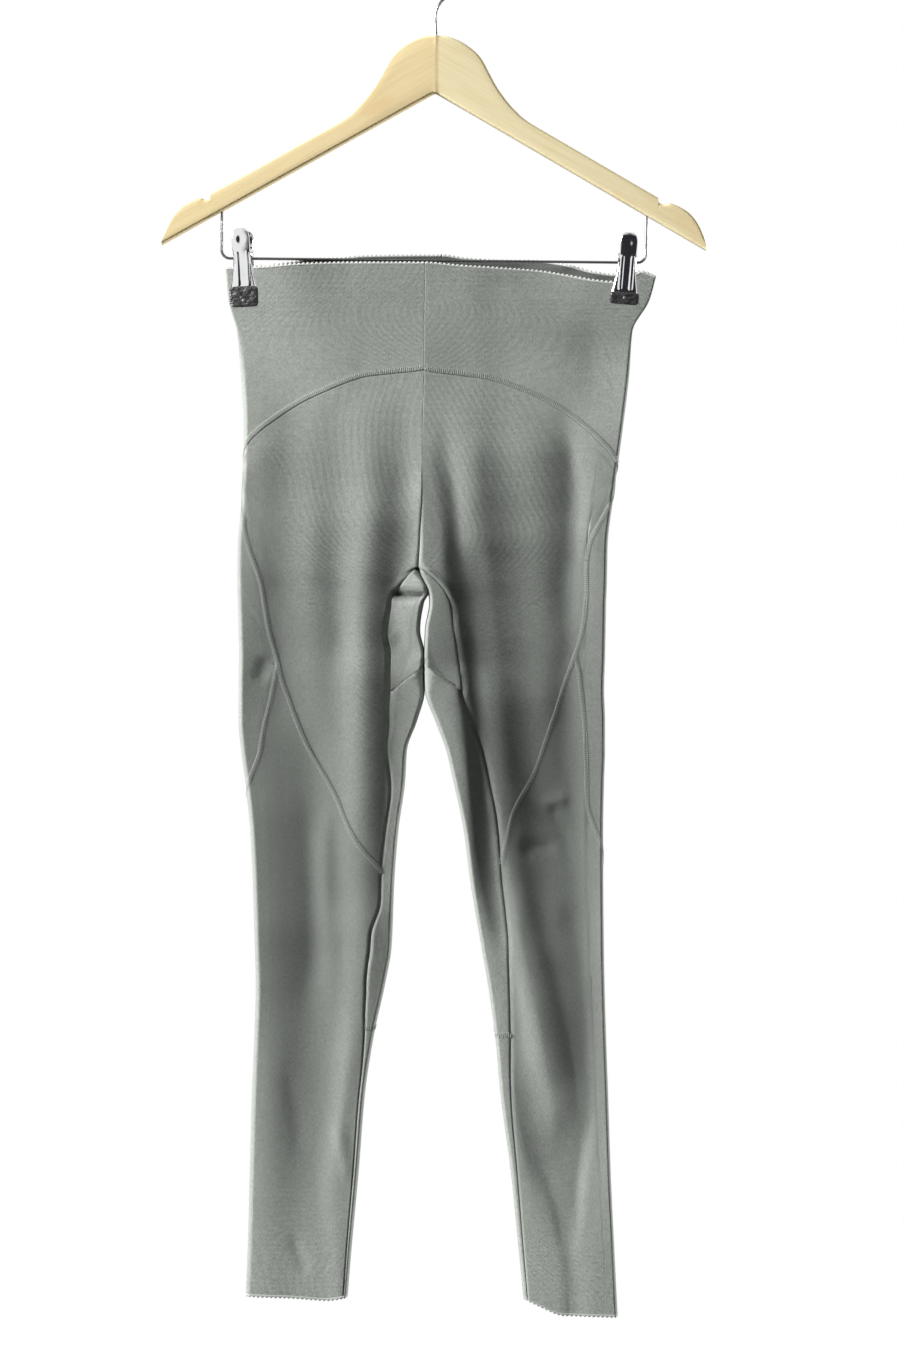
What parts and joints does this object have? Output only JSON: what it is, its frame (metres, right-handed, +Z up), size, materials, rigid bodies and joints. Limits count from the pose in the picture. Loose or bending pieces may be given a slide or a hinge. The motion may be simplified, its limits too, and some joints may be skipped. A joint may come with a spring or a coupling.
{
  "type": "leggings on a clip hanger",
  "caption": "Close-fitting high-waisted ankle-length leggings clipped by the waist to a wooden hanger with a wire crossbar.",
  "frame": {"origin": "inside top of the hanger's hook, where the rail carries it", "axes": "+Z up, -Y towards the garment's front, +X to the right as seen from the front"},
  "size_m": [0.445, 0.0697, 1.1168],
  "materials": {
    "knit": "matt grey-green stretch knit",
    "wood": "pale varnished hardwood",
    "wire": "bright plated wire",
    "clip_metal": "bright plated steel",
    "rubber": "black rubber"
  },
  "bodies": {
    "root": {"waistband_left": "knit", "waistband_right": "knit", "front_thigh_left": "knit", "front_thigh_right": "knit", "back_panel_left": "knit", "back_panel_right": "knit", "lower_leg_left": "knit", "lower_leg_right": "knit", "gusset": "knit", "wood_left": "wood", "wood_right": "wood", "hook": "wire", "crossbar": "wire", "clip_left_front_jaw": "clip_metal", "clip_left_back_jaw": "clip_metal", "clip_left_front_pad": "rubber", "clip_left_back_pad": "rubber", "clip_left_spring": "clip_metal", "clip_right_front_jaw": "clip_metal", "clip_right_back_jaw": "clip_metal", "clip_right_front_pad": "rubber", "clip_right_back_pad": "rubber", "clip_right_spring": "clip_metal"}
  },
  "joints": []
}
